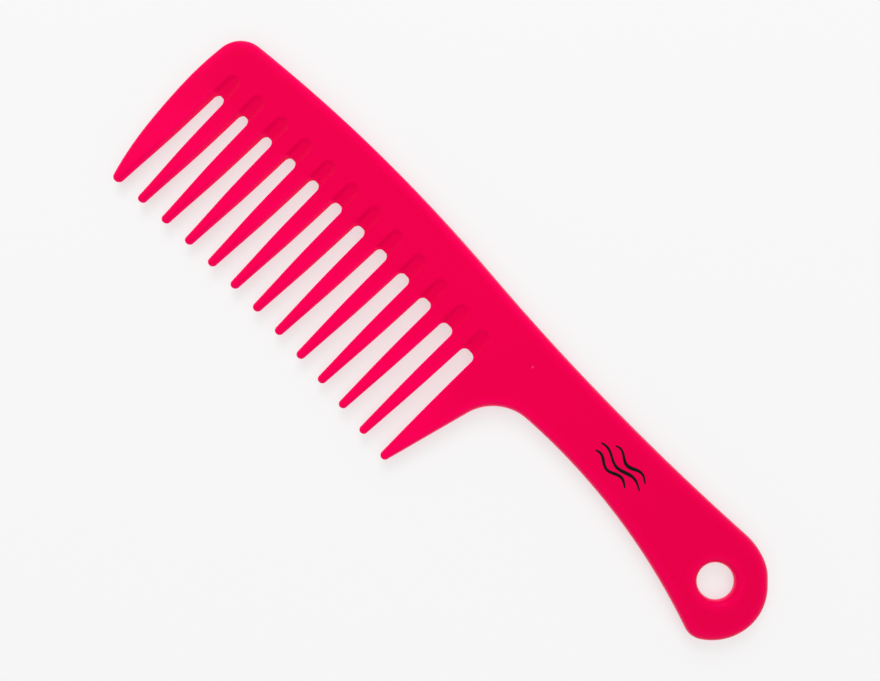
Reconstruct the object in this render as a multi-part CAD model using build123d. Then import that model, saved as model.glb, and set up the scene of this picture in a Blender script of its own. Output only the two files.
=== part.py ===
from build123d import *
import math
import os

# Wide tooth comb with a hanging hole, lying flat.
# Millimetres. +X runs from the head to the handle end, +Y from the tooth tips
# to the back, +Z through the thickness. The origin is the centre of the
# underside of the comb's box.
#
# The comb is drawn in a head frame first (x = 0 midway between the middle two
# gaps, y = 0 at the root of the outermost teeth) and shifted at the end.

# ---------------------------------------------------------------- dimensions
THICKNESS = 5.0            # spine, handle and tooth roots
EDGE_R = 2.2               # rounding of the outer edges, both faces
GAP_EDGE_R = 0.6           # rounding along the gaps

GAP_COUNT = 12             # thirteen teeth
PITCH = 9.69               # tooth pitch
GAP_HALF_ROOT = 2.48       # half width of a gap at y = 0
GAP_DRAFT = 0.0288         # half width gained per mm towards the tips
GAP_END_Y = 2.94           # closed end of the middle gaps
ROW_SAG = 0.0889           # drop of gap ends and tips per (pitch step)^2
GAP_END_R = 1.9            # corner radius of a gap's closed end
TIP_Y = -37.10             # tip of the middle tooth
TIP_R = 1.36               # half width of a tooth at its tip
TIP_THICKNESS = 2.8        # tooth thickness at the tip

SCOOP_RISE = 7.8           # scoop on each face above a gap's closed end
SCOOP_DEPTH = 0.9          # depth of the scoop in each face
SCOOP_TAPER = 20.0         # degrees, draft of the scoop's wall

HOLE_R = 5.3               # hanging hole
HOLE_X, HOLE_Y = 149.4, 4.58
HOLE_RIM_R = 2.1           # rounding of the hole's rims

# Outline, walked from the front guard tooth's tip over the back to the rear
# guard tooth's tip: (radius, turn in degrees), right-hand bends negative,
# radius None with a length for a straight run.
OUTLINE_START = (-59.86, -38.75)
OUTLINE_HEADING = 105.68
OUTLINE = [
    (105.84, -9.88),       # front edge, bowed
    (221.6, -4.55),
    (110.6, -7.20),
    (9.11, -77.65),        # head corner
    (526.8, -10.60),       # back of the head
    (757.0, 7.91),         # back of the handle
    (19.28, -26.95),       # handle end
    (12.22, -22.83),
    (108.7, 1.13),
    (15.68, -52.34),
    (16.46, -48.58),
    (5.37, -52.82),        # lower corner of the handle end
    (186.6, 23.01),        # underside of the handle
    (14.88, 71.50),        # throat
    (None, 23.6),          # outer edge of the rear guard tooth
]

# Printed mark: three wavy strands side by side on the handle.
INK = 0.03                 # film thickness
MARK_X, MARK_Y = 107.3, 7.9
MARK_LENGTH = 17.5
MARK_WAVE = 0.85           # wave height
MARK_STEP = 2.6            # distance between strands
MARK_LINE = 0.75           # line width
MARK_TILT = -4.0           # degrees

# ------------------------------------------------------------------ outline


def walk(start, heading, pieces):
    """Points (x, y, heading) at the joins, and one edge for each piece."""
    x, y, a = start[0], start[1], math.radians(heading)
    joins, edges = [(x, y, a)], []
    for radius, turn in pieces:
        if radius is None:
            nx, ny, na = x + turn * math.cos(a), y + turn * math.sin(a), a
            edges.append(Line((x, y), (nx, ny)))
        else:
            t = math.radians(turn)
            k = math.copysign(1.0 / radius, t)

            def at(f):
                b = a + f * t
                return (x + (math.sin(b) - math.sin(a)) / k,
                        y - (math.cos(b) - math.cos(a)) / k)

            (mx, my), (nx, ny), na = at(0.5), at(1.0), a + t
            edges.append(ThreePointArc((x, y), (mx, my), (nx, ny)))
        x, y, a = nx, ny, na
        joins.append((x, y, a))
    return joins, edges


def outline_points(step=0.25):
    x, y, a = *OUTLINE_START, math.radians(OUTLINE_HEADING)
    pts = [(x, y)]
    for radius, turn in OUTLINE:
        if radius is None:
            n = max(2, int(turn / step))
            pts += [(x + turn * i / n * math.cos(a), y + turn * i / n * math.sin(a))
                    for i in range(1, n + 1)]
        else:
            t = math.radians(turn)
            k = math.copysign(1.0 / radius, t)
            n = max(4, int(radius * abs(t) / step))
            pts += [(x + (math.sin(a + t * i / n) - math.sin(a)) / k,
                     y - (math.cos(a + t * i / n) - math.cos(a)) / k)
                    for i in range(1, n + 1)]
            a += t
        x, y = pts[-1]
    return pts


def crossing(y, front):
    """x of the outline at height y on the front edge or on the rear guard."""
    pts = outline_points()
    if not front:
        pts = pts[::-1]
    for (xa, ya), (xb, yb) in zip(pts, pts[1:]):
        if (ya - y) * (yb - y) <= 0 and ya != yb:
            return xa + (xb - xa) * (y - ya) / (yb - ya)
    raise ValueError(y)


def gap_x(i):
    return (i - (GAP_COUNT - 1) / 2) * PITCH


def gap_end(i):
    return GAP_END_Y - ROW_SAG * (i - (GAP_COUNT - 1) / 2) ** 2


def gap_half(y):
    return GAP_HALF_ROOT - GAP_DRAFT * y


def tip_y(j):
    return TIP_Y - ROW_SAG * 1.03 * (j - GAP_COUNT / 2) ** 2


joins, edges = walk(OUTLINE_START, OUTLINE_HEADING, OUTLINE)
pts = outline_points()
ROOT_DROP = GAP_END_R + 0.1
# root level of each tooth: the lower of its two gaps' straight walls
root = [gap_end(0) - ROOT_DROP]
root += [min(gap_end(i), gap_end(i + 1)) - ROOT_DROP for i in range(GAP_COUNT - 1)]
root += [gap_end(GAP_COUNT - 1) - ROOT_DROP]

# box of the whole comb, for the origin
low_x, high_x = min(p[0] for p in pts), max(p[0] for p in pts)
high_y = max(p[1] for p in pts)
low_y = min(tip_y(0), tip_y(GAP_COUNT))
SHIFT = Location((-(low_x + high_x) / 2, -(low_y + high_y) / 2, 0))

# ---------------------------------------------------- blank, edges rounded
ex, ey, ea = joins[-1]
sx, sy, sa = joins[0]
closing = Line((ex, ey), (sx, sy))
blank_face = make_face(Curve() + edges + closing)
blank = extrude(blank_face, THICKNESS)


def on_outline(e):
    """True for a rim edge that belongs to the outline, not to the closing run."""
    c = e.center()
    return abs((c.X - sx) * (ey - sy) - (c.Y - sy) * (ex - sx)) > 1e-3 * (ex - sx)


rim = [e for e in blank.edges().filter_by(Plane.XY)
       if (abs(e.center().Z) < 1e-6 or abs(e.center().Z - THICKNESS) < 1e-6)
       and on_outline(e)]
blank = fillet(rim, EDGE_R)

# ------------------------------------------------- division at the throat
# The rear guard tooth ends at a slanted root plane, from the last gap's wall
# to the throat; spine and handle meet on a plane across the throat.
SPLIT_X = gap_x(GAP_COUNT - 1) + 5.2
last = GAP_COUNT - 1
r_in = (gap_x(last) + gap_half(root[-1]), root[-1])
r_out_y = -10.6
r_out = (crossing(r_out_y, False), r_out_y)
slope = (r_out[1] - r_in[1]) / (r_out[0] - r_in[0])
split_y = r_in[1] + slope * (SPLIT_X - r_in[0])

# spine region: along the roots, with a notch at each gap's closed end
f_out = (crossing(root[0], True), root[0])
spine_pts = [(f_out[0] - 5, root[0])]
notches = []
for i in range(GAP_COUNT):
    y_end, c = gap_end(i), gap_x(i)
    left_y, right_y = root[i], root[i + 1]
    if i == last:
        right_y = r_in[1]
    spine_pts += [(c - gap_half(left_y), left_y), (c + gap_half(right_y), right_y)]
    y0 = y_end - GAP_END_R
    low = min(left_y, right_y) - 1.0
    h0, hl = gap_half(y0), gap_half(low)
    flat = h0 - GAP_END_R
    q = math.sqrt(0.5) * GAP_END_R
    notch = Curve() + [
        Line((c - hl, low), (c - h0, y0)),
        ThreePointArc((c - h0, y0), (c - flat - q, y0 + q), (c - flat, y_end)),
        Line((c - flat, y_end), (c + flat, y_end)),
        ThreePointArc((c + flat, y_end), (c + flat + q, y0 + q), (c + h0, y0)),
        Line((c + h0, y0), (c + hl, low)),
        Line((c + hl, low), (c - hl, low)),
    ]
    notches.append(extrude(make_face(notch), THICKNESS))
spine_pts += [(SPLIT_X, split_y), (SPLIT_X, 40.0), (f_out[0] - 5, 40.0)]
spine_zone = extrude(make_face(Polyline(*spine_pts, close=True)), THICKNESS)
spine = blank & spine_zone
for n in notches:
    spine -= n

# scoops: the gap's slot carried on into both faces, fading no web between
for i in range(GAP_COUNT):
    c, y_end = gap_x(i), gap_end(i)
    h = gap_half(y_end)
    top = y_end + SCOOP_RISE
    low = y_end - GAP_END_R - 1.5
    for z, sign in ((THICKNESS, -1), (0.0, 1)):
        slot = Curve() + [
            Line((c - h, low), (c - h, top - h)),
            ThreePointArc((c - h, top - h), (c, top), (c + h, top - h)),
            Line((c + h, top - h), (c + h, low)),
            Line((c + h, low), (c - h, low)),
        ]
        face = Pos(0, 0, z) * make_face(slot)
        spine -= extrude(face, amount=sign * SCOOP_DEPTH, dir=(0, 0, 1))

# ------------------------------------------------------------------- handle
handle_pts = [(SPLIT_X, 40.0), (SPLIT_X, split_y), r_out,
              (r_out[0] - 0.0, r_out[1] - 30.0), (200.0, r_out[1] - 30.0), (200.0, 40.0)]
handle_zone = extrude(make_face(Polyline(*handle_pts, close=True)), THICKNESS)
handle = blank & handle_zone
hole = Pos(HOLE_X, HOLE_Y, THICKNESS / 2) * Cylinder(HOLE_R, THICKNESS * 2)
handle -= hole
rims = [e for e in handle.edges().filter_by(GeomType.CIRCLE)
        if abs(e.radius - HOLE_R) < 1e-6 and abs(e.arc_center.X - HOLE_X) < 1e-3
        and (abs(e.center().Z) < 1e-6 or abs(e.center().Z - THICKNESS) < 1e-6)]
handle = fillet(rims, HOLE_RIM_R)

# -------------------------------------------------------------------- teeth


def section(inner, outer, thickness, r_inner, r_outer):
    """Upright rounded section from the inner to the outer point of a tooth."""
    ix, iy = inner
    ox, oy = outer
    w = math.hypot(ox - ix, oy - iy)
    ux, uy = (ox - ix) / w, (oy - iy) / w
    r_inner = min(r_inner, w * 0.45, thickness * 0.45)
    r_outer = min(r_outer, w * 0.45, thickness * 0.45)
    z0, z1 = (THICKNESS - thickness) / 2, (THICKNESS + thickness) / 2
    plane = Plane(origin=(ix, iy, 0), x_dir=(ux, uy, 0), z_dir=(uy, -ux, 0))
    q = 1 - math.sqrt(0.5)

    def P(u, z):
        return plane.from_local_coords((u, z, 0))

    a, b = r_inner, r_outer
    line = Curve() + [
        Line(P(a, z0), P(w - b, z0)),
        ThreePointArc(P(w - b, z0), P(w - b * q, z0 + b * q), P(w, z0 + b)),
        Line(P(w, z0 + b), P(w, z1 - b)),
        ThreePointArc(P(w, z1 - b), P(w - b * q, z1 - b * q), P(w - b, z1)),
        Line(P(w - b, z1), P(a, z1)),
        ThreePointArc(P(a, z1), P(a * q, z1 - a * q), P(0, z1 - a)),
        Line(P(0, z1 - a), P(0, z0 + a)),
        ThreePointArc(P(0, z0 + a), P(a * q, z0 + a * q), P(a, z0)),
    ]
    return make_face(line)


def thickness_at(f):
    return THICKNESS + (TIP_THICKNESS - THICKNESS) * f


def tip_sections(c, tip, half, thick, r):
    """Closing sections of a rounded tip, from its widest line to its end."""
    out = []
    for k in (1.0, 0.62, 0.33, 0.13, 0.02):
        d = TIP_R * k
        g = math.sqrt(max(0.0, 1 - (1 - k) ** 2))
        g = max(g, 0.22)
        hw, th = half * g, thick * (0.35 + 0.65 * g)
        out.append(section((c - hw, tip + d), (c + hw, tip + d), th, r * g, r * g))
    return out


teeth = {}
for j in range(GAP_COUNT + 1):
    tip = tip_y(j)
    if 0 < j < GAP_COUNT:
        top = root[j]
        xl = gap_x(j - 1) + gap_half(top)
        xr = gap_x(j) - gap_half(top)
        c = (gap_x(j - 1) + gap_x(j)) / 2
        stations = []
        y1 = tip + TIP_R
        for f in (0.0, 0.25, 0.5, 0.75):
            y = top + (y1 - top) * f
            stations.append(section((gap_x(j - 1) + gap_half(y), y), (gap_x(j) - gap_half(y), y),
                                    thickness_at(f), GAP_EDGE_R + 0.5 * f, GAP_EDGE_R + 0.5 * f))
        half = (gap_x(j) - gap_x(j - 1)) / 2 - gap_half(y1)
        stations += tip_sections(c, tip, half, thickness_at(1.0), GAP_EDGE_R + 0.55)
        teeth[f"tooth_{j + 1:02d}"] = loft(stations, ruled=True)
    else:
        front = j == 0
        stations = []
        y1 = tip + TIP_R * 1.15
        for f in (0.0, 0.12, 0.25, 0.38, 0.5, 0.62, 0.75, 0.88, 1.0):
            if front:
                y = root[0] + (y1 - root[0]) * f
                inner = (gap_x(0) - gap_half(y), y)
                outer = (crossing(max(y, OUTLINE_START[1] + 0.01), True), y)
                stations.append(section(outer, inner, thickness_at(f),
                                        EDGE_R - 0.9 * f, GAP_EDGE_R + 0.5 * f))
            else:
                yi = r_in[1] + (y1 - r_in[1]) * f
                yo = r_out[1] + (y1 - r_out[1]) * f
                inner = (gap_x(last) + gap_half(yi), yi)
                outer = (crossing(max(yo, ey + 0.01), False), yo)
                if yo < ey:
                    outer = (ex + (yo - ey) / math.tan(ea), yo)
                stations.append(section(inner, outer, thickness_at(f),
                                        GAP_EDGE_R + 0.5 * f, EDGE_R - 0.9 * f))
        if front:
            a_, b_ = outer, inner
        else:
            a_, b_ = inner, outer
        half, c = (b_[0] - a_[0]) / 2, (a_[0] + b_[0]) / 2
        stations += tip_sections(c, tip, half, thickness_at(1.0), GAP_EDGE_R + 0.55)[1:]
        teeth["front_guard_tooth" if front else "rear_guard_tooth"] = loft(stations, ruled=True)

# --------------------------------------------------------------- printed mark
strands = []
for m in (-1, 0, 1):
    n = 6
    length = MARK_LENGTH * (1.0 if m == 0 else 0.78)
    line = []
    for k in range(n + 1):
        u = -length / 2 + length * k / n
        line.append((u + 1.4 * m, m * MARK_STEP + MARK_WAVE * math.sin(math.pi * k / 2 * 1.0 + 0.4)))
    upper = Spline(*[(u, v + MARK_LINE / 2) for u, v in line])
    lower = Spline(*[(u, v - MARK_LINE / 2) for u, v in line])
    ring = Curve() + [upper, lower, Line(upper @ 0, lower @ 0), Line(upper @ 1, lower @ 1)]
    face = Pos(MARK_X, MARK_Y, THICKNESS) * Rot(0, 0, MARK_TILT) * make_face(ring)
    strands.append(extrude(face, amount=INK, dir=(0, 0, 1)))
printed_mark = Compound(children=[s.solid() if hasattr(s, "solid") else s for s in strands])

# ---------------------------------------------------------------------- write
os.makedirs("parts", exist_ok=True)
nodes = {"handle": handle, "spine": spine, **teeth, "printed_mark": printed_mark}
for name, shape in nodes.items():
    moved = SHIFT * shape
    export_step(moved, f"parts/{name}.step")
print("shift", -(low_x + high_x) / 2, -(low_y + high_y) / 2)
print("gap centres", [round(gap_x(i) - (low_x + high_x) / 2, 3) for i in range(GAP_COUNT)])
print("gap ends", [round(gap_end(i) - (low_y + high_y) / 2, 3) for i in range(GAP_COUNT)])
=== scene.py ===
import math

import bpy
import numpy as np
from mathutils import Matrix, Vector
from mathutils.geometry import delaunay_2d_cdt
from mathutils.kdtree import KDTree


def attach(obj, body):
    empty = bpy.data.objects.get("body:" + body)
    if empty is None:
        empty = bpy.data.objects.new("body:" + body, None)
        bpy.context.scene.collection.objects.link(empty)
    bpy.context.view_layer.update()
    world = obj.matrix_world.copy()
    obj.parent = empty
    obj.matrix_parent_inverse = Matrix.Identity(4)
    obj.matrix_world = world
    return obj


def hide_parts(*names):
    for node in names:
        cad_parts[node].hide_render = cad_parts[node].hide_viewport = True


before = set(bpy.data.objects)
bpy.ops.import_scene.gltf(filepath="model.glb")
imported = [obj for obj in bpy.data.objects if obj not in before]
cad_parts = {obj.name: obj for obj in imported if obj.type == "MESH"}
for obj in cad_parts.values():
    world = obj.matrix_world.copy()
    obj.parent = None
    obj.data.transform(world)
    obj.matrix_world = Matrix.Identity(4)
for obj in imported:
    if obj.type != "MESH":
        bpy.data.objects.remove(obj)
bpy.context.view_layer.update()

# ---------------------------------------------------------------------------
# Design numbers, millimetres, in the head frame of the CAD part: x = 0 midway
# between the middle two gaps, y = 0 at the roots of the outermost teeth.
# ---------------------------------------------------------------------------
THICK = 5.0
GAPS = 12
PITCH = 9.69
GAP_HALF_ROOT = 2.48
GAP_DRAFT = 0.0288
GAP_END_Y = 2.94
ROW_SAG = 0.0889
GAP_END_R = 1.9
TIP_Y = -37.10
TIP_THICK = 2.8
SCOOP_RISE = 7.8
HOLE_R, HOLE_X, HOLE_Y = 5.31, 149.4, 4.58
START, HEADING = (-59.86, -38.75), 105.68
OUTLINE = [
    (105.84, -9.88), (221.6, -4.55), (110.6, -7.20), (9.11, -77.65),
    (526.8, -10.60), (757.0, 7.91), (19.28, -26.95), (12.22, -22.83),
    (108.7, 1.13), (15.68, -52.34), (16.46, -48.58), (5.37, -52.82),
    (186.6, 23.01), (14.88, 71.50), (None, 23.6),
]

# looks only
OUTER_R = 2.34          # rounding of the outer edges
WALL_R = 0.34           # rounding along the teeth at their roots
WALL_R_TIP = 1.14       # and at their tips
END_R = 0.34             # rounding at a gap's closed end
HOLE_RIM = 2.3
BARREL = 0.15           # swell of a tooth's side at mid length
SCOOP_DEPTH = 0.82
SCOOP_WALL = 1.9        # width of the scoop's sloping side
SCOOP_LIP = 0.35        # how far of it lies outside the slot's line
RINGS = [0.0, 0.03, 0.1, 0.2, 0.33, 0.48, 0.64, 0.82, 1.0]
PIP = (69.51, 9.99)     # gate vestige on the face


def gap_x(i):
    return (i - (GAPS - 1) / 2) * PITCH


def gap_end(i):
    return GAP_END_Y - ROW_SAG * (i - (GAPS - 1) / 2) ** 2


def gap_half(y):
    return GAP_HALF_ROOT - GAP_DRAFT * y


def wall_line(i, right):
    """Half width at y = 0 and draft of one side of a gap; they lean a little."""
    return (2.46 + 0.020 * i, 0.0345 - 0.0018 * i) if right else (2.62 - 0.050 * i, 0.0197 + 0.0025 * i)


def tip_y(j):
    return TIP_Y - ROW_SAG * 1.03 * (j - GAPS / 2) ** 2


ROOT_DROP = GAP_END_R + 0.1
root = [gap_end(0) - ROOT_DROP]
root += [min(gap_end(i), gap_end(i + 1)) - ROOT_DROP for i in range(GAPS - 1)]
root += [gap_end(GAPS - 1) - ROOT_DROP]
TIPS = [tip_y(j) for j in range(GAPS + 1)]
TIPS[-1] = -40.15


# ---------------------------------------------------------------------------
# The outline as one dense closed loop, walked with the plastic on the right.
# ---------------------------------------------------------------------------
DS = 0.04


def walk(x, y, a, radius, turn):
    """Dense points (x, y, heading, radius of the bend) of one arc or line."""
    if radius is None:
        n = max(1, int(round(turn / DS)))
        f = np.arange(1, n + 1) / n
        return np.stack([x + turn * f * math.cos(a), y + turn * f * math.sin(a),
                         np.full(n, a), np.full(n, 1e6)], 1)
    t = math.radians(turn)
    k = math.copysign(1.0 / radius, t)
    n = max(3, int(round(radius * abs(t) / DS)))
    b = a + t * np.arange(1, n + 1) / n
    return np.stack([x + (np.sin(b) - math.sin(a)) / k, y - (np.cos(b) - math.cos(a)) / k,
                     b, np.full(n, radius)], 1)


chain = [np.array([[START[0], START[1], math.radians(HEADING), 107.4]])]
for radius, turn in OUTLINE:
    x, y, a = chain[-1][-1][:3]
    chain.append(walk(x, y, a, radius, turn))
x, y, a = chain[-1][-1][:3]
chain.append(walk(x, y, a, None, 6.0))            # run on past the rear tip
back = walk(START[0], START[1], math.radians(HEADING) + math.pi, 107.4, 3.2)[::-1]
back[:, 2] -= math.pi
chain = np.concatenate([back] + chain)

low_x, high_x = chain[:, 0].min(), chain[:, 0].max()
high_y, low_y = chain[:, 1].max(), min(TIPS)
SX, SY = -(low_x + high_x) / 2, -(low_y + high_y) / 2


def guard_tip(front):
    """Circle that touches a guard tooth's two sides and its lowest line."""
    j = 0 if front else GAPS
    gx = gap_x(0) if front else gap_x(GAPS - 1)
    side = -1 if front else 1
    part = chain[: len(chain) // 3] if front else chain[-len(chain) // 3:]
    offset = 0 if front else len(chain) - len(part)
    a, b = wall_line(0 if front else GAPS - 1, not front)

    def miss(r):
        yc = TIPS[j] + r
        xc = gx + side * (a - b * yc + r * math.sqrt(1 + b * b))
        d = np.hypot(part[:, 0] - xc, part[:, 1] - yc)
        return d.min() - r, xc, yc, int(d.argmin()) + offset

    lo, hi = 0.7, 2.4
    for _ in range(50):
        mid = (lo + hi) / 2
        if miss(mid)[0] > 0:
            lo = mid
        else:
            hi = mid
    _, xc, yc, at = miss(lo)
    return lo, xc, yc, at


r_front, fx, fy, at_front = guard_tip(True)
r_rear, rx, ry, at_rear = guard_tip(False)
body = chain[at_front: at_rear + 1]


def arc_points(xc, yc, r, a0, a1):
    """Right-hand bend of radius r about a centre, from heading a0 to a1."""
    n = max(8, int(abs(a1 - a0) * r / DS))
    a = a0 + (a1 - a0) * np.arange(0, n + 1) / n
    s = -1 if a1 < a0 else 1
    return np.stack([xc + s * r * np.sin(a), yc - s * r * np.cos(a), a, np.full(n + 1, r)], 1)


def line_points(p, q, a):
    n = max(2, int(math.hypot(q[0] - p[0], q[1] - p[1]) / DS))
    f = np.arange(0, n + 1) / n
    return np.stack([p[0] + (q[0] - p[0]) * f, p[1] + (q[1] - p[1]) * f,
                     np.full(n + 1, a), np.full(n + 1, 1e6)], 1)


KINDS = {"outer": 0, "tip": 1, "wall": 2, "end": 3}
runs = []


def add(points, kind, tooth=-1, gap=-1):
    runs.append((points, KINDS[kind], tooth, gap))


add(body, "outer")
a_rear = body[-1, 2]
while a_rear > -math.pi / 2:
    a_rear -= 2 * math.pi
dr = math.atan(wall_line(GAPS - 1, True)[1])
add(arc_points(rx, ry, r_rear, a_rear, math.pi / 2 + dr - 2 * math.pi), "tip", tooth=GAPS)
last_tip = (rx - r_rear * math.cos(dr), ry - r_rear * math.sin(dr))
for i in range(GAPS - 1, -1, -1):
    c, ye = gap_x(i), gap_end(i)
    y0 = ye - GAP_END_R
    (al, bl), (ar, br) = wall_line(i, False), wall_line(i, True)
    hl, hr = al - bl * y0, ar - br * y0
    dl, dr = math.atan(bl), math.atan(br)
    fl, fr = c - hl + GAP_END_R, c + hr - GAP_END_R
    add(line_points(last_tip, (c + hr, y0), math.pi / 2 + dr), "wall", tooth=i + 1, gap=i)
    add(arc_points(fr, y0, GAP_END_R, math.pi / 2, math.pi), "end", gap=i)
    add(line_points((fr, ye), (fl, ye), math.pi), "end", gap=i)
    add(arc_points(fl, y0, GAP_END_R, math.pi, 1.5 * math.pi), "end", gap=i)
    down = -math.pi / 2 - dl
    if i > 0:
        # circle touching both sides of this tooth and its lowest line
        t = TIPS[i]
        ar, br = wall_line(i - 1, True)
        dr = math.atan(br)
        r = (PITCH - al - ar + (bl + br) * t) / (1 / math.cos(dl) + 1 / math.cos(dr) - bl - br)
        cy = t + r
        cx = c - al + bl * cy - r / math.cos(dl)
        right = (cx + r * math.cos(dl), cy - r * math.sin(dl))
        add(line_points((c - hl, y0), right, down), "wall", tooth=i, gap=i)
        add(arc_points(cx, cy, r, down, math.pi / 2 + dr - 2 * math.pi), "tip", tooth=i)
        last_tip = (cx - r * math.cos(dr), cy - r * math.sin(dr))
    else:
        right = (fx + r_front * math.cos(dl), fy - r_front * math.sin(dl))
        add(line_points((c - hl, y0), right, down), "wall", tooth=0, gap=0)
        add(arc_points(fx, fy, r_front, down, body[0, 2] - 2 * math.pi), "tip", tooth=0)

loop = np.concatenate([p for p, *_ in runs])
kind = np.concatenate([np.full(len(p), k) for p, k, _, _ in runs])
tooth_of = np.concatenate([np.full(len(p), t) for p, _, t, _ in runs])
gap_of = np.concatenate([np.full(len(p), g) for p, _, _, g in runs])
# the sides of the teeth are very slightly barrelled
j_ = np.clip(tooth_of, 0, GAPS)
f_ = np.clip((np.asarray(root)[j_] - loop[:, 1]) / (np.asarray(root)[j_] - np.asarray(TIPS)[j_] - 1.35), 0, 1)
swell = np.where(kind == KINDS["wall"], BARREL * np.sin(math.pi * f_), 0.0)
loop[:, 0] -= np.sin(loop[:, 2]) * swell
loop[:, 1] += np.cos(loop[:, 2]) * swell
keep = np.hypot(*(loop[:, :2] - np.roll(loop[:, :2], 1, 0)).T) > 1e-4
loop, kind, tooth_of, gap_of = loop[keep], kind[keep], tooth_of[keep], gap_of[keep]
step = np.hypot(*(np.roll(loop[:, :2], -1, 0) - loop[:, :2]).T)
arc_s = np.concatenate([[0], np.cumsum(step)[:-1]])
TOTAL = step.sum()

# ---------------------------------------------------------------------------
# Where the named pieces meet
# ---------------------------------------------------------------------------
SPLIT_X = gap_x(GAPS - 1) + 5.2
_a, _b = wall_line(GAPS - 1, True)
R_IN = np.array([gap_x(GAPS - 1) + _a - _b * root[-1], root[-1]])
_y = -10.6
_c = body[len(body) // 2:]
_k = int(np.abs(_c[_c[:, 0] < 75][:, 1] - _y).argmin())
R_OUT = _c[_c[:, 0] < 75][_k, :2].copy()
CUT = (R_OUT - R_IN) / np.hypot(*(R_OUT - R_IN))
T_POINT = np.array([SPLIT_X, R_IN[1] + CUT[1] / CUT[0] * (SPLIT_X - R_IN[0])])
Q_TIP = float(np.dot(np.array([rx, TIPS[-1]]) - R_IN, np.array([CUT[1], -CUT[0]])))

NAMES = ["front_guard_tooth"] + [f"tooth_{k:02d}" for k in range(2, GAPS + 1)] + ["rear_guard_tooth", "spine", "handle"]
SPINE, HANDLE = GAPS + 1, GAPS + 2


def below_cut(x, y):
    """Distance below the rear guard tooth's slanted root plane."""
    return (x - R_IN[0]) * CUT[1] - (y - R_IN[1]) * CUT[0]


def region(x, y):
    """Piece number of each point."""
    x, y = np.asarray(x, float), np.asarray(y, float)
    j = np.clip(np.floor(x / PITCH + GAPS / 2 + 0.5).astype(int), 0, GAPS)
    j = np.where(x > gap_x(GAPS - 1), GAPS, np.where(x < gap_x(0), 0, j))
    r = np.asarray(root)[np.clip(j, 0, GAPS)]
    out = np.where(y < r, j, SPINE)
    rear = x > gap_x(GAPS - 1)
    guard = (below_cut(x, y) > 0) & (y < R_IN[1])
    out = np.where(rear, np.where(guard, GAPS, np.where(x < SPLIT_X, SPINE, HANDLE)), out)
    return out


# ---------------------------------------------------------------------------
# Height of the upper face above the middle plane
# ---------------------------------------------------------------------------


def ease(f, a=0.06):
    f = np.clip(f, 0, 1.2)
    return (np.sqrt(f * f + a * a) - a) / (math.sqrt(1 + a * a) - a)


def smoother(t):
    t = np.clip(t, 0, 1)
    return t * t * t * (t * (6 * t - 15) + 10)


def half_thickness(x, y, reg):
    """Half thickness before edges are rounded: teeth thin towards their tips."""
    reg = np.asarray(reg)
    j = np.clip(reg, 0, GAPS)
    f = (np.asarray(root)[j] - y) / (np.asarray(root)[j] - np.asarray(TIPS)[j])
    f = np.where(j == GAPS, below_cut(x, y) / Q_TIP, f)
    return THICK / 2 - (THICK - TIP_THICK) / 2 * np.where(reg <= GAPS, ease(f), 0.0)


def scoop(x, y):
    """Depth of the scoops, and how far inside a scoop a point is."""
    i = np.clip(np.round(x / PITCH + (GAPS - 1) / 2), 0, GAPS - 1)
    c = (i - (GAPS - 1) / 2) * PITCH
    ye = GAP_END_Y - ROW_SAG * (i - (GAPS - 1) / 2) ** 2
    h = gap_half(ye)
    yt = ye + SCOOP_RISE - h
    s = np.where(y > yt, h - np.hypot(x - c, y - yt), h - np.abs(x - c))
    # the floor rises towards the upper end, and the rim is softly rounded
    t = np.clip((y - ye - 1.5) / (SCOOP_RISE - 1.2), 0, 1)
    depth = SCOOP_DEPTH * (1 - 0.6 * t * t) * smoother((s + SCOOP_LIP) / SCOOP_WALL)
    depth = depth * smoother((y - ye + 2.6) / 3.0)
    return np.where(x < gap_x(GAPS - 1) + 4, depth, 0.0), s


def top_height(x, y, reg):
    d, _ = scoop(x, y)
    return half_thickness(x, y, reg) - d


def pip_height(x, y):
    """Gate vestige: a small broken-off stub in a shallow ring."""
    r = np.hypot(x - PIP[0], y - PIP[1])
    return 0.16 * (1 - smoother((r - 0.16) / 0.2)) - 0.05 * np.exp(-((r - 0.62) / 0.17) ** 2)


# ---------------------------------------------------------------------------
# Rounding radius along the loop
# ---------------------------------------------------------------------------
lx, ly = loop[:, 0], loop[:, 1]
edge_r = np.full(len(loop), OUTER_R)
rootv, tipv = np.asarray(root), np.asarray(TIPS)
f_front = np.clip((root[0] - ly) / (root[0] - TIPS[0]), 0, 1)
f_rear = np.clip(below_cut(lx, ly) / Q_TIP, 0, 1)
outer = kind == KINDS["outer"]
front_side = outer & (lx < gap_x(0)) & (ly < root[0])
rear_side = outer & (below_cut(lx, ly) > 0) & (lx < R_OUT[0] + 1)
edge_r = np.where(front_side, OUTER_R - (OUTER_R - 1.2) * f_front, edge_r)
edge_r = np.where(rear_side, OUTER_R - (OUTER_R - 1.14) * f_rear, edge_r)
wall = kind == KINDS["wall"]
jw = np.clip(tooth_of, 0, GAPS)
f_wall = np.clip((rootv[jw] - ly) / (rootv[jw] - tipv[jw]), 0, 1)
edge_r = np.where(wall, WALL_R + (WALL_R_TIP - WALL_R) * smoother((f_wall - 0.3) / 0.66), edge_r)
edge_r = np.where(kind == KINDS["tip"], WALL_R_TIP, edge_r)
edge_r = np.where((kind == KINDS["tip"]) & (tooth_of == 0), 1.2, edge_r)
edge_r = np.where(kind == KINDS["end"], END_R, edge_r)
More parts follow.
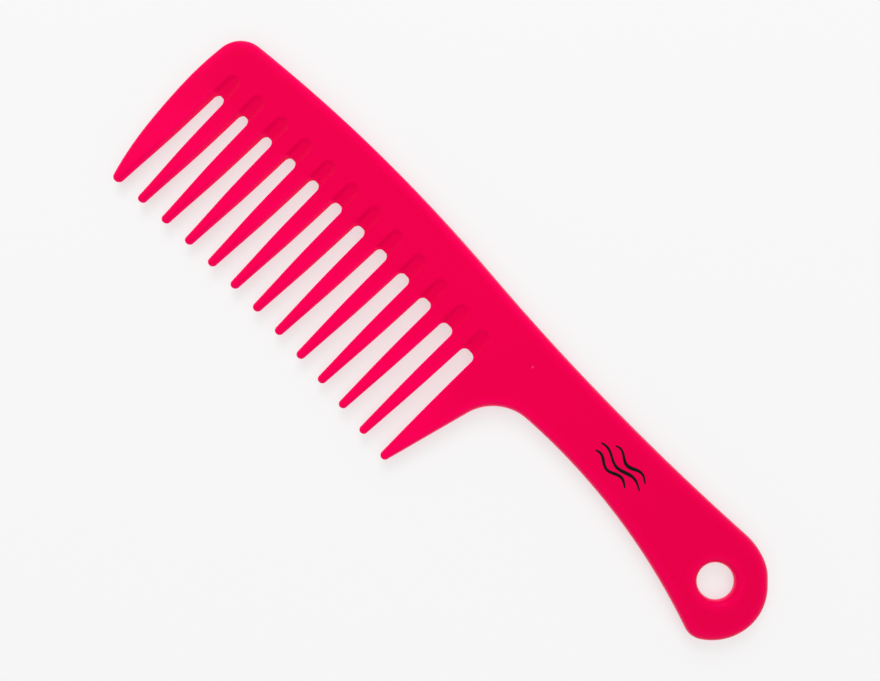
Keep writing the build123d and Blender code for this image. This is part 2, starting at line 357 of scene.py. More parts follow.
# no rounding deeper than the plastic allows: largest circle inside at each point
few = np.arange(0, len(loop), 6)
fn = np.stack([np.sin(loop[few, 2]), -np.cos(loop[few, 2])], 1)
room = np.full(len(few), 9.0)
for c0 in range(0, len(few), 500):
    dx = lx[few][None, :] - lx[few][c0:c0 + 500, None]
    dy = ly[few][None, :] - ly[few][c0:c0 + 500, None]
    dn = dx * fn[c0:c0 + 500, None, 0] + dy * fn[c0:c0 + 500, None, 1]
    with np.errstate(divide="ignore", invalid="ignore"):
        r_ = np.where(dn > 1e-3, (dx * dx + dy * dy) / (2 * dn), 9.0)
    room[c0:c0 + 500] = np.minimum(r_.min(1), 9.0)
room = np.interp(arc_s, arc_s[few], room)
edge_r = np.minimum(edge_r, 0.85 * room)
# even out the changes along the loop
n_s = 4096 * 8
u = np.arange(n_s) * TOTAL / n_s
rr = np.interp(u, np.r_[arc_s, TOTAL], np.r_[edge_r, edge_r[0]])
sig = 1.1 / (TOTAL / n_s)
kern = np.exp(-0.5 * (np.arange(-int(4 * sig), int(4 * sig) + 1) / sig) ** 2)
kern /= kern.sum()
pad = len(kern) // 2
rr = np.convolve(np.r_[rr[-pad:], rr, rr[:pad]], kern, mode="valid")
edge_r = np.minimum(np.interp(arc_s, np.r_[u, TOTAL], np.r_[rr, rr[0]]), 0.88 * room)

# ---------------------------------------------------------------------------
# Samples along the loop: close together on tight bends, with one sample
# exactly where two pieces meet
# ---------------------------------------------------------------------------
want = np.clip(loop[:, 3] * 0.07, 0.2, 1.15)
marks = {}


def nearest_on_loop(p, mask):
    d = np.hypot(lx - p[0], ly - p[1])
    return int(np.where(mask, d, 1e9).argmin())


for j in range(GAPS + 1):
    if j > 0 and j < GAPS:
        marks[("left", j)] = nearest_on_loop((gap_x(j - 1) + gap_half(root[j]), root[j]), wall & (tooth_of == j) & (gap_of == j - 1))
    if j < GAPS:
        marks[("right", j)] = nearest_on_loop((gap_x(j) - gap_half(root[j]), root[j]), wall & (tooth_of == j) & (gap_of == j))
marks[("left", GAPS)] = nearest_on_loop(R_IN, wall & (tooth_of == GAPS))
marks[("front",)] = nearest_on_loop((low_x, root[0]), outer & (lx < gap_x(0) - 4) & (ly < 6))
marks[("throat",)] = nearest_on_loop(R_OUT, outer & (lx < 80))
marks[("back",)] = nearest_on_loop((SPLIT_X, high_y), outer & (ly > 10))
special = set(marks.values())
# samples are chosen run by run between fixed points, so none crowd a mark
fixed = set(special)
changes = np.where((kind != np.roll(kind, 1)) | (np.abs(loop[:, 3] - np.roll(loop[:, 3], 1)) > 0.5))[0]
fixed |= set(int(k) for k in changes)
fixed = sorted(fixed)
tidy = []
for k in fixed:                       # no two fixed points nearer than 0.15 mm
    if tidy and arc_s[k] - arc_s[tidy[-1]] < 0.15:
        if k in special:
            tidy[-1] = k
        continue
    tidy.append(k)
chosen = []
m = len(loop)
for a_, b_ in zip(tidy, tidy[1:] + [tidy[0] + m]):
    span = [(q % m) for q in range(a_, b_)]
    w = want[span]
    cum = np.concatenate([[0], np.cumsum(step[span] / w)])
    n = max(1, int(math.ceil(cum[-1])))
    targets = np.arange(n) * cum[-1] / n
    pick = np.searchsorted(cum, targets - 1e-9)
    chosen += [span[min(p, len(span) - 1)] for p in pick]
seen, order = set(), []
for k in chosen:
    if k not in seen:
        seen.add(k)
        order.append(k)
S = len(order)
idx = np.array(order)
P = loop[idx, :2].copy()
head = loop[idx, 2]
N_in = np.stack([np.sin(head), -np.cos(head)], 1)      # into the plastic
R_e = edge_r[idx]
where = {k: s for s, k in enumerate(order)}
OFF = N_in.copy()


def force(mark, direction):
    """Line the rings up with a cut at this sample."""
    s = where[marks[mark]]
    d = np.asarray(direction, float)
    OFF[s] = d / float(np.dot(d, N_in[s]))
    return s


cuts = {}
for j in range(1, GAPS):
    P[where[marks[("left", j)]], 1] = root[j]
    P[where[marks[("right", j)]], 1] = root[j]
    cuts[j] = (force(("left", j), (1, 0)), force(("right", j), (-1, 0)))
s_front = force(("front",), (1, 0))
P[s_front, 1] = root[0]
P[where[marks[("right", 0)]], 1] = root[0]
cuts[0] = (s_front, force(("right", 0), (-1, 0)))
s_in = force(("left", GAPS), CUT)
s_throat = force(("throat",), -CUT)
s_back = force(("back",), (0, -1))
R_IN2, R_OUT2 = P[s_in], P[s_throat]
P[s_back, 0] = SPLIT_X

# the hanging hole's own loop, walked with the plastic on the right
HN = 120
th = np.arange(HN) * 2 * math.pi / HN
HP = np.stack([HOLE_X + HOLE_R * np.cos(th), HOLE_Y + HOLE_R * np.sin(th)], 1)
HO = np.stack([np.cos(th), np.sin(th)], 1)

# ---------------------------------------------------------------------------
# 2-D points: rings round both loops, cut lines, scoops and a plain grid
# ---------------------------------------------------------------------------
K = len(RINGS)
pts2, dist2, rad2 = [], [], []
ring_id = np.zeros((S, K), int)
for k, g in enumerate(RINGS):
    d = R_e * g
    ring_id[:, k] = np.arange(len(pts2), len(pts2) + S)
    pts2 += list(P + OFF * d[:, None])
    dist2 += list(d)
    rad2 += list(R_e)
hole_id = np.zeros((HN, K), int)
for k, g in enumerate(RINGS):
    hole_id[:, k] = np.arange(len(pts2), len(pts2) + HN)
    pts2 += list(HP + HO * HOLE_RIM * g)
    dist2 += [HOLE_RIM * g] * HN
    rad2 += [HOLE_RIM] * HN
n_ring = len(pts2)

tree = KDTree(len(loop) + HN)
for q in range(len(loop)):
    tree.insert((lx[q], ly[q], 0), q)
for q in range(HN):
    tree.insert((HP[q, 0], HP[q, 1], 0), len(loop) + q)
tree.balance()


def outline_distance(x, y):
    """Distance to the nearest edge, and that edge's rounding radius."""
    co, q, d = tree.find((x, y, 0))
    return d, (edge_r[q] if q < len(loop) else HOLE_RIM)


from_poly = loop[::4, :2]


def inside(x, y):
    """Even-odd test of many points against the outline and the hole."""
    x, y = np.asarray(x, float), np.asarray(y, float)
    a, b = from_poly, np.roll(from_poly, -1, 0)
    res = np.zeros(len(x), bool)
    for c0 in range(0, len(x), 2000):
        xs, ys = x[c0:c0 + 2000, None], y[c0:c0 + 2000, None]
        cond = (a[None, :, 1] > ys) != (b[None, :, 1] > ys)
        with np.errstate(divide="ignore", invalid="ignore"):
            xi = a[None, :, 0] + (ys - a[None, :, 1]) * (b[None, :, 0] - a[None, :, 0]) / (b[None, :, 1] - a[None, :, 1])
        res[c0:c0 + 2000] = ((cond & (xs < xi)).sum(1) % 2) == 1
    return res & (np.hypot(x - HOLE_X, y - HOLE_Y) > HOLE_R)


cut_chains = {}


def cut_interior(p, q, step_):
    n = max(2, int(math.hypot(*(np.asarray(q) - np.asarray(p))) / step_))
    f = np.arange(1, n) / n
    ids = []
    for t in f:
        ids.append(len(pts2))
        x, y = p[0] + (q[0] - p[0]) * t, p[1] + (q[1] - p[1]) * t
        d, r = outline_distance(x, y)
        pts2.append(np.array([x, y]))
        dist2.append(max(d, r))
        rad2.append(r)
    return ids


for j in range(GAPS):
    sa, sb = cuts[j]
    mid = cut_interior(pts2[ring_id[sa, K - 1]], pts2[ring_id[sb, K - 1]], 0.7)
    cut_chains[j] = list(ring_id[sa]) + mid + list(ring_id[sb][::-1])
t_id = len(pts2)
pts2.append(T_POINT.copy())
dist2.append(9.0)
rad2.append(1.0)
mid_a = cut_interior(pts2[ring_id[s_in, K - 1]], T_POINT, 0.7)
mid_b = cut_interior(T_POINT, pts2[ring_id[s_throat, K - 1]], 1.0)
mid_c = cut_interior(T_POINT, pts2[ring_id[s_back, K - 1]], 1.2)
chain_in = list(ring_id[s_in]) + mid_a + [t_id]
chain_out = [t_id] + mid_b + list(ring_id[s_throat][::-1])
chain_back = [t_id] + mid_c + list(ring_id[s_back][::-1])
n_cut = len(pts2)

free = []
# plain grid
gs = 1.5
ys = np.arange(-41, 24, gs * math.sqrt(3) / 2)
for row, yv in enumerate(ys):
    xs = np.arange(-66, 166, gs) + (gs / 2 if row % 2 else 0)
    free.append(np.stack([xs, np.full(len(xs), yv)], 1))
grid = np.concatenate(free)
_, s_in_scoop = scoop(grid[:, 0], grid[:, 1])
ii = np.clip(np.round(grid[:, 0] / PITCH + (GAPS - 1) / 2), 0, GAPS - 1)
ge = GAP_END_Y - ROW_SAG * (ii - (GAPS - 1) / 2) ** 2
near_scoop = (s_in_scoop > -0.9) & (grid[:, 1] > ge - 3) & (grid[:, 1] < ge + SCOOP_RISE + 1) & (np.abs(grid[:, 0]) < gap_x(GAPS - 1) + 5)
near_pip = np.hypot(grid[:, 0] - PIP[0], grid[:, 1] - PIP[1]) < 1.5
grid = grid[~near_scoop & ~near_pip]
# scoops: rows that follow their outline
extra = []
for i in range(GAPS):
    c, ye = gap_x(i), gap_end(i)
    h = gap_half(ye)
    yt = ye + SCOOP_RISE - h
    for s in (-1.3, -1.1, -0.95, -0.8, -0.6, -0.42, -0.24, -0.12, 0.0, 0.1, 0.2, 0.3, 0.4, 0.5, 0.6, 0.7, 0.8, 0.9, 1.02, 1.2, 1.6, 2.05):
        r = h - s
        sp = 0.24 if s < 1.1 else 0.4
        n = max(6, int(math.pi * r / sp))
        a = np.linspace(0, math.pi, n + 1)
        extra.append(np.stack([c + r * np.cos(a), yt + r * np.sin(a)], 1))
        yy = np.arange(yt - 0.3, ye - 2.6, -0.3)
        for side in (-1, 1):
            extra.append(np.stack([np.full(len(yy), c + side * r), yy], 1))
for r in (0.0, 0.07, 0.13, 0.18, 0.23, 0.28, 0.34, 0.42, 0.5, 0.58, 0.66, 0.74, 0.84, 0.96, 1.15):
    n = max(1, int(2 * math.pi * r / 0.12))
    a = np.arange(n) * 2 * math.pi / n
    extra.append(np.stack([PIP[0] + r * np.cos(a), PIP[1] + r * np.sin(a)], 1))
extra = np.concatenate(extra)
cand = np.concatenate([grid, extra])
margin = np.concatenate([np.full(len(grid), 0.55), np.full(len(extra), 0.13)])
ok = inside(cand[:, 0], cand[:, 1])
# no point sits almost on a cut, so no sliver of one piece falls to its neighbour
for a, b in ((pts2[ring_id[s_in, K - 1]], T_POINT), (T_POINT, pts2[ring_id[s_throat, K - 1]]), (T_POINT, pts2[ring_id[s_back, K - 1]])):
    v = b - a
    f = np.clip(((cand - a) @ v) / float(v @ v), 0, 1)
    ok &= np.hypot(*(cand - a - f[:, None] * v).T) > 0.18
cand, margin = cand[ok], margin[ok]
keep_pts = []
cut_tree = KDTree(n_cut - n_ring)
for q in range(n_ring, n_cut):
    cut_tree.insert((pts2[q][0], pts2[q][1], 0), q)
cut_tree.balance()
for (x, y), mg in zip(cand, margin):
    d, r = outline_distance(x, y)
    if d < r + mg:
        continue
    if cut_tree.find((x, y, 0))[2] < (0.5 if mg > 0.3 else 0.12):
        continue
    keep_pts.append((x, y, d, r))
for x, y, d, r in keep_pts:
    pts2.append(np.array([x, y]))
    dist2.append(d)
    rad2.append(r)
XY = np.array(pts2)
D2, RAD = np.array(dist2), np.array(rad2)

# ---------------------------------------------------------------------------
# Triangles inside the innermost rings
# ---------------------------------------------------------------------------
inner = list(ring_id[:, K - 1]) + list(hole_id[:, K - 1]) + list(range(n_ring, len(XY)))
local = {v: q for q, v in enumerate(inner)}
edges = [(local[ring_id[s, K - 1]], local[ring_id[(s + 1) % S, K - 1]]) for s in range(S)]
edges += [(local[hole_id[s, K - 1]], local[hole_id[(s + 1) % HN, K - 1]]) for s in range(HN)]


def chain_edges(ids):
    return [(local[a], local[b]) for a, b in zip(ids, ids[1:]) if a in local and b in local]


for ch in list(cut_chains.values()) + [chain_in, chain_out, chain_back]:
    edges += chain_edges(ch)
out = delaunay_2d_cdt([Vector((float(XY[v, 0]), float(XY[v, 1]))) for v in inner], edges, [], 0, 1e-7, True)
o_verts, _, o_faces, o_src = out[0], out[1], out[2], out[3]
to_global = []
for q, src in enumerate(o_src):
    if len(src) == 0:
        raise RuntimeError("the cut lines and rings cross")
    to_global.append(inner[src[0]])
tri = np.array([[to_global[a] for a in f] for f in o_faces if len(f) == 3])
cen = XY[tri].mean(1)
# keep what lies inside the innermost ring of the outline and outside the hole's
ring_poly = XY[ring_id[:, K - 1]]
a_, b_ = ring_poly, np.roll(ring_poly, -1, 0)
good = np.zeros(len(tri), bool)
for c0 in range(0, len(tri), 2000):
    xs, ys_ = cen[c0:c0 + 2000, 0, None], cen[c0:c0 + 2000, 1, None]
    cond = (a_[None, :, 1] > ys_) != (b_[None, :, 1] > ys_)
    with np.errstate(divide="ignore", invalid="ignore"):
        xi = a_[None, :, 0] + (ys_ - a_[None, :, 1]) * (b_[None, :, 0] - a_[None, :, 0]) / (b_[None, :, 1] - a_[None, :, 1])
    good[c0:c0 + 2000] = ((cond & (xs < xi)).sum(1) % 2) == 1
good &= np.hypot(cen[:, 0] - HOLE_X, cen[:, 1] - HOLE_Y) > HOLE_R + HOLE_RIM * 0.999
tri = tri[good]
v0, v1, v2 = XY[tri[:, 0]], XY[tri[:, 1]], XY[tri[:, 2]]
area = (v1[:, 0] - v0[:, 0]) * (v2[:, 1] - v0[:, 1]) - (v1[:, 1] - v0[:, 1]) * (v2[:, 0] - v0[:, 0])
tri[area < 0] = tri[area < 0][:, ::-1]
tri_reg = region(*XY[tri].mean(1).T)

# ---------------------------------------------------------------------------
# Heights
# ---------------------------------------------------------------------------
reg_pt = region(XY[:, 0], XY[:, 1])
reg_pt[hole_id.ravel()] = HANDLE
zs = top_height(XY[:, 0], XY[:, 1], reg_pt)
rz = np.minimum(RAD, zs - 0.16)
t = np.clip(D2 / RAD, 0, 1)
drop = rz * (1 - np.sqrt(np.clip(1 - (1 - t) ** 2, 0, 1)))
z_top = zs - drop
z_bot = -z_top.copy()
z_top = z_top + np.where(reg_pt == HANDLE, pip_height(XY[:, 0], XY[:, 1]), 0.0)

NV = len(XY)
verts = np.concatenate([np.column_stack([XY, z_top]), np.column_stack([XY, z_bot])])
# side walls: three extra rows, the middle one standing proud as the parting line
wall_rows = {}
extra_v, extra_src = [], []
BULGE = 0.035
for name, ids, pos, outdir in (("outline", ring_id, P, -N_in), ("hole", hole_id, HP, -HO)):
    rows = []
    z_e = z_top[ids[:, 0]]
    for zf, b in ((0.55, 0.0), (0.0, BULGE), (-0.55, 0.0)):
        z_row = np.minimum(z_e * abs(zf), 0.11) * (1 if zf > 0 else -1) if zf else np.zeros(len(z_e))
        rows.append(len(verts) + len(extra_v) + np.arange(len(pos)))
        extra_v += list(np.column_stack([pos + outdir * b, z_row]))
        extra_src += list(ids[:, 0])
    wall_rows[name] = np.array(rows)
verts = np.concatenate([verts, np.array(extra_v)])

faces, labels = [], []


def add_faces(fs, label):
    faces.extend(fs)
    labels.extend([label] * len(fs) if np.isscalar(label) else list(label))


for name, ids, n in (("outline", ring_id, S), ("hole", hole_id, HN)):
    nxt = (np.arange(n) + 1) % n
    if name == "outline":
        mid = (P + P[nxt]) / 2 + (N_in + N_in[nxt]) * 0.02
        lab = region(mid[:, 0], mid[:, 1])
    else:
        lab = np.full(n, HANDLE)
    for k in range(K - 1):
        A, B, C, D = ids[:, k], ids[nxt, k], ids[nxt, k + 1], ids[:, k + 1]
        add_faces([list(map(int, q)) for q in zip(A, D, C, B)], lab)
        add_faces([list(map(int, q)) for q in zip(A + NV, B + NV, C + NV, D + NV)], lab)
    col = np.vstack([ids[:, 0], wall_rows[name], ids[:, 0] + NV])
    for k in range(4):
        add_faces([list(map(int, q)) for q in zip(col[k], col[k][nxt], col[k + 1][nxt], col[k + 1])], lab)
    wall_rows[name + "_col"] = col
add_faces([list(map(int, f)) for f in tri], tri_reg)
add_faces([list(map(int, f[::-1] + NV)) for f in tri], tri_reg)
labels = np.array(labels)

# one whole mesh, only to read even normals across the pieces
whole = bpy.data.meshes.new("whole")
whole.from_pydata((verts * 0.001).tolist(), [], faces)
whole.update()
VN = np.zeros(len(verts) * 3, np.float32)
whole.vertex_normals.foreach_get("vector", VN)
VN = VN.reshape(-1, 3)
bpy.data.meshes.remove(whole)

# edge closeness and thinness, for the plastic's colour: a painted glow, as of light shining through the plastic near
# its outer edges and in the thin teeth
src = np.concatenate([np.arange(NV), np.arange(NV), np.array(extra_src)])
rim_tree = KDTree(len(loop) + HN)
for q in np.where(outer)[0]:
    rim_tree.insert((lx[q], ly[q], 0), int(q))
for q in range(HN):
    rim_tree.insert((HP[q, 0], HP[q, 1], 0), len(loop) + q)
rim_tree.balance()
rim_d = np.array([rim_tree.find((x, y, 0))[2] for x, y in XY])
# painted glow: lighter pink within a few millimetres of the outer edges and round the hole
edge_glow = (1 - smoother((rim_d - 0.9) / 2.7))[src]
edge_glow[2 * NV:] = 1.0
# painted glow on the side walls and the edge just above them
on_wall = (1 - smoother(D2 / 0.5))[src]
on_wall[2 * NV:] = 1.0
gap_wall = on_wall * smoother((rim_d[src] - 0.3) / 1.5)
# painted glow: the teeth lighter towards their tips, as of light shining through thin plastic
tooth_glow = 0.35 * smoother((3.5 - XY[:, 1]) / 6.0) + 0.65 * smoother((-1.0 - XY[:, 1]) / 18.0)
tooth_glow = np.where(XY[:, 0] > gap_x(GAPS - 1), smoother(below_cut(XY[:, 0], XY[:, 1]) / 20.0), tooth_glow)
tooth_glow = np.where(XY[:, 0] > gap_x(GAPS - 1) + 12, 0.0, tooth_glow)[src]
# painted shade: the scoops' floors a little darker, most where the scoop is deepest
sc_d, _ = scoop(XY[:, 0], XY[:, 1])
scoop_shade = np.clip(sc_d / SCOOP_DEPTH, 0, 1)[src]
# lighter spot on the gate stub: stress-whitening and a painted highlight
gate = np.exp(-(np.hypot(XY[:, 0] - PIP[0], XY[:, 1] - PIP[1]) / 0.26) ** 2)[src]
gate[NV:] = 0.0

MMS = 0.001
shift = np.array([SX, SY, THICK / 2])


def cap(ids, cols_first, cols_last, flip):
    """Closing faces along a cut. Its normal points left of the chain."""
    fs = []
    for q, (a, b) in enumerate(zip(ids, ids[1:])):
        f = [a, b]
        if q == len(ids) - 2 and cols_last is not None:
            f += list(cols_last)
        f += [b + NV, a + NV]
        if q == 0 and cols_first is not None:
            f += list(cols_first[::-1])
        f = [int(v) for v in f]
        fs.append(f[::-1] if flip else f)
    return fs


wr = wall_rows["outline"]
caps = {n: [] for n in range(len(NAMES))}
for j in range(GAPS):
    sa, sb = cuts[j]
    caps[j] += cap(cut_chains[j], wr[:, sa], wr[:, sb], False)
    caps[SPINE] += cap(cut_chains[j], wr[:, sa], wr[:, sb], True)
caps[GAPS] += cap(chain_in, wr[:, s_in], None, False) + cap(chain_out, None, wr[:, s_throat], False)
caps[SPINE] += cap(chain_in, wr[:, s_in], None, True)
caps[HANDLE] += cap(chain_out, None, wr[:, s_throat], True)
# chain_back runs towards +Y: the spine is on its left, the handle on its right
caps[HANDLE] += cap(chain_back, None, wr[:, s_back], False)
caps[SPINE] += cap(chain_back, None, wr[:, s_back], True)

# ---------------------------------------------------------------------------
# Materials
# ---------------------------------------------------------------------------


def srgb(r, g, b):
    f = lambda c: c / 12.92 if c <= 0.04045 else ((c + 0.055) / 1.055) ** 2.4
    return (f(r / 255), f(g / 255), f(b / 255), 1.0)


def new_material(name):
    m = bpy.data.materials.new(name)
    m.use_nodes = True
    nt = m.node_tree
    for n in list(nt.nodes):
        nt.nodes.remove(n)
    out_ = nt.nodes.new("ShaderNodeOutputMaterial")
    b = nt.nodes.new("ShaderNodeBsdfPrincipled")
    nt.links.new(b.outputs["BSDF"], out_.inputs["Surface"])
    return m, nt, b


def noise(nt, coord, scale, detail=3.0, rough=0.5, stretch=None):
    n = nt.nodes.new("ShaderNodeTexNoise")
    n.inputs["Scale"].default_value = scale
    n.inputs["Detail"].default_value = detail
    n.inputs["Roughness"].default_value = rough
    if stretch is not None:
        mp = nt.nodes.new("ShaderNodeMapping")
        mp.inputs["Scale"].default_value = stretch[0]
        mp.inputs["Rotation"].default_value = stretch[1]
        nt.links.new(coord, mp.inputs["Vector"])
        nt.links.new(mp.outputs["Vector"], n.inputs["Vector"])
    else:
        nt.links.new(coord, n.inputs["Vector"])
    return n.outputs["Fac"]


def ramp(nt, fac, stops):
    r = nt.nodes.new("ShaderNodeMapRange")
    r.inputs["From Min"].default_value = stops[0]
    r.inputs["From Max"].default_value = stops[1]
    r.inputs["To Min"].default_value = stops[2]
    r.inputs["To Max"].default_value = stops[3]
    nt.links.new(fac, r.inputs["Value"])
    return r.outputs["Result"]


def math_node(nt, op, a, b):
    n = nt.nodes.new("ShaderNodeMath")
    n.operation = op
    for s, v in ((0, a), (1, b)):
        if isinstance(v, (int, float)):
            n.inputs[s].default_value = v
        else:
            nt.links.new(v, n.inputs[s])
    return n.outputs[0]


def mix_color(nt, fac, a, b, blend="MIX"):
    n = nt.nodes.new("ShaderNodeMix")
    n.data_type = "RGBA"
    n.blend_type = blend
    for key, v in ((0, fac), (6, a), (7, b)):
        if isinstance(v, (int, float)):
            n.inputs[key].default_value = v
        elif isinstance(v, tuple):
            n.inputs[key].default_value = v
        else:
            nt.links.new(v, n.inputs[key])
    return n.outputs[2]


def attribute(nt, name):
    n = nt.nodes.new("ShaderNodeAttribute")
    n.attribute_name = name
    return n.outputs["Fac"]


plastic, nt, bsdf = new_material("pink_plastic")
coord = nt.nodes.new("ShaderNodeTexCoord").outputs["Object"]
e_edge_glow, e_wall_glow, e_gap, e_tooth_glow, e_scoop_shade, e_pip_whitening_and_highlight = (attribute(nt, n) for n in ("edge_glow", "on_wall", "gap_wall", "tooth_glow", "scoop_shade", "gate"))
# FACE is the plastic's own pink; the two lighter pinks are painted glow; the deepest pink is the handle's deeper tone
# and painted shade in the scoops
DEEP_TONE_AND_SHADE, FACE, PAINTED_GLOW, WALL_PAINTED_LIGHT = (0.63, 0, 0.044, 1), (0.775, 0, 0.059, 1), (0.89, 0, 0.082, 1), (0.98, 0, 0.125, 1)
cloud = noise(nt, coord, 55.0, 4.0, 0.55)
flow = noise(nt, coord, 30.0, 5.0, 0.6, ((0.35, 2.2, 1.0), (0, 0, 0.15)))
# painted glow near the outer edges and in the teeth, with two noises for tone that differs at random
glow_and_tone = math_node(nt, "MAXIMUM", math_node(nt, "MULTIPLY", e_edge_glow, 0.95), math_node(nt, "MULTIPLY", e_tooth_glow, 0.8))
glow_and_tone = math_node(nt, "ADD", glow_and_tone, math_node(nt, "MULTIPLY", math_node(nt, "SUBTRACT", flow, 0.5), 0.22))
glow_and_tone = math_node(nt, "ADD", glow_and_tone, math_node(nt, "MULTIPLY", math_node(nt, "SUBTRACT", cloud, 0.5), 0.12))
col = mix_color(nt, ramp(nt, glow_and_tone, (0.0, 1.0, 0.0, 1.0)), FACE, PAINTED_GLOW)
# the handle is a little deeper than the head
sep = nt.nodes.new("ShaderNodeSeparateXYZ")
nt.links.new(coord, sep.inputs[0])
along = ramp(nt, sep.outputs["X"], (0.0, 0.11, 0.0, 0.42))
col = mix_color(nt, along, col, DEEP_TONE_AND_SHADE)
# painted light: the side walls and the edge just above them painted a glowing pink, and the scoops' floors painted a
# little darker as shade
col = mix_color(nt, e_wall_glow, col, WALL_PAINTED_LIGHT)
col = mix_color(nt, math_node(nt, "MULTIPLY", e_scoop_shade, 0.34), col, DEEP_TONE_AND_SHADE)
# torn gate: stress-whitened plastic, and a painted highlight on the stub
col = mix_color(nt, e_pip_whitening_and_highlight, col, (0.9, 0.06, 0.25, 1))
nt.links.new(col, bsdf.inputs["Base Color"])
# gloss: fine orange peel, a faint swirl in roughness and hairline scuffs
peel = noise(nt, coord, 900.0, 2.0, 0.5)
fine = noise(nt, coord, 5200.0, 2.0, 0.6)
scuff = noise(nt, coord, 420.0, 6.0, 0.7, ((0.08, 3.0, 1.0), (0, 0, 0.42)))
scuff2 = noise(nt, coord, 380.0, 6.0, 0.7, ((2.6, 0.07, 1.0), (0, 0, 0.2)))
scratch = math_node(nt, "MAXIMUM", ramp(nt, scuff, (0.66, 0.74, 0.0, 1.0)), ramp(nt, scuff2, (0.68, 0.76, 0.0, 1.0)))
rough = ramp(nt, cloud, (0.25, 0.75, 0.27, 0.37))
rough = math_node(nt, "ADD", rough, math_node(nt, "MULTIPLY", scratch, 0.07))
rough = math_node(nt, "ADD", rough, math_node(nt, "MULTIPLY", math_node(nt, "SUBTRACT", fine, 0.5), 0.08))
rough = math_node(nt, "ADD", rough, math_node(nt, "MULTIPLY", e_gap, 0.6))
nt.links.new(rough, bsdf.inputs["Roughness"])
hgt = math_node(nt, "ADD", math_node(nt, "MULTIPLY", peel, 0.6), math_node(nt, "MULTIPLY", fine, 0.16))
hgt = math_node(nt, "SUBTRACT", hgt, math_node(nt, "MULTIPLY", scratch, 0.10))
bump = nt.nodes.new("ShaderNodeBump")
bump.inputs["Strength"].default_value = 0.35
bump.inputs["Distance"].default_value = 0.00003
nt.links.new(hgt, bump.inputs["Height"])
nt.links.new(bump.outputs["Normal"], bsdf.inputs["Normal"])
bsdf.inputs["Specular IOR Level"].default_value = 0.22
bsdf.inputs["Specular Tint"].default_value = (1.0, 0.03, 0.4, 1.0)
bsdf.inputs["IOR"].default_value = 1.49

ink, nt, ib = new_material("black_ink")
coord = nt.nodes.new("ShaderNodeTexCoord").outputs["Object"]
spk = noise(nt, coord, 4200.0, 3.0, 0.6)
big = noise(nt, coord, 600.0, 3.0, 0.5)
icol = mix_color(nt, ramp(nt, spk, (0.62, 0.8, 0.0, 0.55)), srgb(10, 4, 6), srgb(90, 4, 30))
nt.links.new(icol, ib.inputs["Base Color"])
nt.links.new(ramp(nt, big, (0.3, 0.7, 0.34, 0.5)), ib.inputs["Roughness"])
bump = nt.nodes.new("ShaderNodeBump")
bump.inputs["Strength"].default_value = 0.3
bump.inputs["Distance"].default_value = 0.00001
nt.links.new(spk, bump.inputs["Height"])
nt.links.new(bump.outputs["Normal"], ib.inputs["Normal"])
ib.inputs["Specular IOR Level"].default_value = 0.1

# ---------------------------------------------------------------------------
# The moulded pieces, one closed mesh for each named node
# ---------------------------------------------------------------------------


def make_piece(number):
    name = NAMES[number]
    own = [faces[q] for q in np.where(labels == number)[0]]
    n_smooth = len(own)
    own = own + caps[number]
    used = np.unique(np.concatenate([np.array(f) for f in own]))
    remap = np.full(len(verts), -1)
    remap[used] = np.arange(len(used))
    me = bpy.data.meshes.new("moulded_" + name)
    me.from_pydata(((verts[used] + shift) * MMS).tolist(), [], [[int(remap[v]) for v in f] for f in own])
    me.update()
    for key, values in (("edge_glow", edge_glow), ("on_wall", on_wall), ("gap_wall", gap_wall), ("tooth_glow", tooth_glow), ("scoop_shade", scoop_shade), ("gate", gate)):
        at = me.attributes.new(key, "FLOAT", "POINT")
        at.data.foreach_set("value", values[used].astype(np.float32))
    me.polygons.foreach_set("use_smooth", np.ones(len(me.polygons), bool))
    normals = []
    for q, poly in enumerate(me.polygons):
        if q < n_smooth:
            for v in own[q]:
                normals.append(VN[v])
        else:
            normals += [np.array(poly.normal)] * len(own[q])
    me.normals_split_custom_set([tuple(map(float, n)) for n in normals])
    me.materials.append(plastic)
    ob = bpy.data.objects.new("moulded_" + name, me)
    bpy.context.scene.collection.objects.link(ob)
    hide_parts(name)
    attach(ob, "root")
    return ob


pieces = [make_piece(n) for n in range(len(NAMES))]

# ---------------------------------------------------------------------------
# Printed mark: three wavy strands, a plain motif
# ---------------------------------------------------------------------------
MARK_X, MARK_Y, MARK_LENGTH = 107.3, 7.9, 17.5
tilt = math.radians(-4.0)
mv, mf = [], []
INK = 0.03
for m in (-1, 0, 1):
    length = MARK_LENGTH * (1.0 if m == 0 else 0.78)
    n = 90
    f = np.linspace(0, 1, n + 1)
    uu = -length / 2 + length * f
    vv = 2.6 * m + 0.85 * np.sin(math.pi * 3 * f + 0.4)
    du = np.gradient(uu)
    dv = np.gradient(vv)
    ln = np.hypot(du, dv)
    w = 0.16 + 0.38 * np.sin(math.pi * np.clip(f * 1.0, 0, 1)) ** 0.55 * (0.82 + 0.18 * np.cos(2 * math.pi * f * 1.5 + m))
    base = len(mv)
    for side in (1, -1):
        ox, oy = uu + 1.4 * m - side * dv / ln * w, vv + side * du / ln * w
        gx_, gy_ = ox * math.cos(tilt) - oy * math.sin(tilt) + MARK_X, ox * math.sin(tilt) + oy * math.cos(tilt) + MARK_Y
        for zz in (THICK / 2, THICK / 2 + INK):
            mv += list(np.column_stack([gx_, gy_, np.full(n + 1, zz)]))
    N1 = n + 1
    LB, LT, RB, RT = base, base + N1, base + 2 * N1, base + 3 * N1
    for q in range(n):
        mf.append([LT + q, RT + q, RT + q + 1, LT + q + 1])
        mf.append([LB + q, LB + q + 1, RB + q + 1, RB + q])
        mf.append([LB + q, LT + q, LT + q + 1, LB + q + 1])
        mf.append([RB + q, RB + q + 1, RT + q + 1, RT + q])
    mf.append([LB, RB, RT, LT])
    mf.append([LB + n, LT + n, RT + n, RB + n])
me = bpy.data.meshes.new("mark_strands")
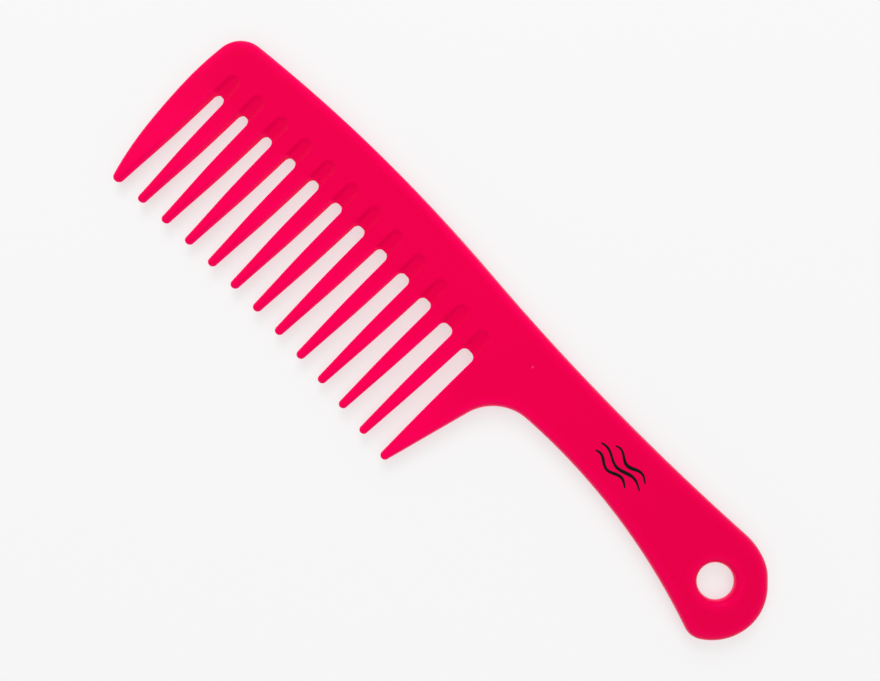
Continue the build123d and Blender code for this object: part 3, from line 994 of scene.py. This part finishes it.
me.from_pydata(((np.array(mv) + shift) * MMS).tolist(), [], [[int(a) for a in f] for f in mf])
me.update()
me.materials.append(ink)
mark = bpy.data.objects.new("mark_strands", me)
bpy.context.scene.collection.objects.link(mark)
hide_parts("printed_mark")
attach(mark, "root")

# ---------------------------------------------------------------------------
# Floor, light and camera
# ---------------------------------------------------------------------------
fm, nt, fb = new_material("floor_paper")
fb.inputs["Base Color"].default_value = (0.33, 0.33, 0.33, 1)
fb.inputs["Emission Color"].default_value = (1, 1, 1, 1)
fb.inputs["Emission Strength"].default_value = 0.56
fb.inputs["Roughness"].default_value = 0.9
fb.inputs["Specular IOR Level"].default_value = 0.1
fl = bpy.data.meshes.new("floor")
w = 30.0
fl.from_pydata([(-w, -w, 0), (w, -w, 0), (w, w, 0), (-w, w, 0)], [], [(0, 1, 2, 3)])
fl.materials.append(fm)
floor = bpy.data.objects.new("floor", fl)
floor.location = (0, 0, -0.0002)
bpy.context.scene.collection.objects.link(floor)

world = bpy.data.worlds.new("studio")
bpy.context.scene.world = world
world.use_nodes = True
bg = world.node_tree.nodes["Background"]
bg.inputs["Color"].default_value = (1, 1, 1, 1)
wt = world.node_tree
wc = wt.nodes.new("ShaderNodeTexCoord")
ws = wt.nodes.new("ShaderNodeSeparateXYZ")
wm = wt.nodes.new("ShaderNodeMapRange")
wm.interpolation_type = "SMOOTHSTEP"
for key, v in (("From Min", 0.25), ("From Max", 0.9), ("To Min", 0.55), ("To Max", 1.03)):
    wm.inputs[key].default_value = v
wt.links.new(wc.outputs["Generated"], ws.inputs[0])
wt.links.new(ws.outputs["Z"], wm.inputs["Value"])
wt.links.new(wm.outputs["Result"], bg.inputs["Strength"])


def area(name, loc, size, power, target=(0, 0, 0)):
    l = bpy.data.lights.new(name, "AREA")
    l.shape = "RECTANGLE"
    l.size, l.size_y = size
    l.energy = power
    o = bpy.data.objects.new(name, l)
    o.location = loc
    o.rotation_euler = (Vector(target) - Vector(loc)).to_track_quat("-Z", "Y").to_euler()
    bpy.context.scene.collection.objects.link(o)
    return o


area("key", (-0.78, 0.76, 0.85), (0.9, 0.6), 7.0)
area("fill", (0.8, -0.6, 0.8), (0.9, 0.9), 1.5)

cam_data = bpy.data.cameras.new("camera")
cam_data.sensor_fit = "HORIZONTAL"
cam_data.sensor_width = 36.0
cam_data.lens = 36.599
cam_data.clip_start = 0.01
cam = bpy.data.objects.new("camera", cam_data)
right = Vector((0.696208, 0.715843, -0.053507))
up = Vector((-0.714689, 0.6982, 0.041666))
backv = right.cross(up)
cam.matrix_world = Matrix((
    (right.x, up.x, backv.x, (62.72398 + SX) * MMS),
    (right.y, up.y, backv.y, (-1.39979 + SY) * MMS),
    (right.z, up.z, backv.z, 0.26473825),
    (0, 0, 0, 1)))
bpy.context.scene.collection.objects.link(cam)
bpy.context.scene.camera = cam
bpy.context.scene.view_settings.view_transform = "Standard"
bpy.context.scene.view_settings.look = "None"
